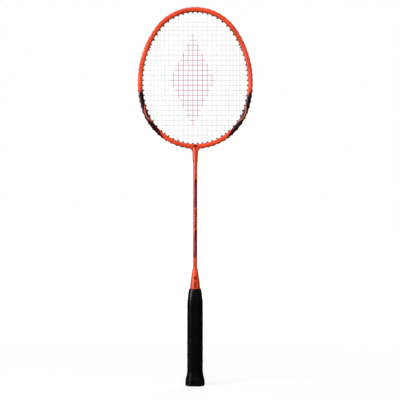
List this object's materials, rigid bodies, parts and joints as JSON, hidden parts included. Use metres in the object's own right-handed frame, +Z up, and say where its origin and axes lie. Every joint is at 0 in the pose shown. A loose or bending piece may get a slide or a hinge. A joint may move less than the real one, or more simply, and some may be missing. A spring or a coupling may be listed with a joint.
{
  "type": "badminton racket",
  "caption": "Badminton racket: strung oval metal head on a T joint and slim shaft, cone cap and a wrapped wooden handle flared at the butt.",
  "frame": {"origin": "middle of the butt cap's flat end", "axes": "+Z up the racket to the top of the head, +X across the head, +Y normal to the string bed; the front faces -Y"},
  "size_m": [0.2026, 0.0316, 0.6655],
  "materials": {
    "painted_metal_orange": "gloss paint with dark bands",
    "painted_joint_orange": "gloss paint over a moulding",
    "cone_orange": "gloss",
    "handle_wood": "bare",
    "grip_black": "satin soft wrap",
    "tape_black": "satin film",
    "butt_black": "satin",
    "string_white": "satin, with a red stencil",
    "grommet_black": "satin"
  },
  "bodies": {
    "root": {"head_frame": "painted_metal_orange", "t_joint": "painted_joint_orange", "shaft": "painted_metal_orange", "cone_cap": "cone_orange", "handle_core": "handle_wood", "grip_wrap": "grip_black", "finishing_tape": "tape_black", "butt_cap": "butt_black", "main_string": "string_white", "cross_string": "string_white", "main_string_knots": "string_white", "cross_string_knots": "string_white", "grommets_top": "grommet_black", "grommets_throat": "grommet_black", "grommets_tie_off": "grommet_black", "grommets_upper_right": "grommet_black", "grommets_side_right": "grommet_black", "grommets_lower_right": "grommet_black", "grommets_upper_left": "grommet_black", "grommets_side_left": "grommet_black", "grommets_lower_left": "grommet_black"}
  },
  "joints": []
}
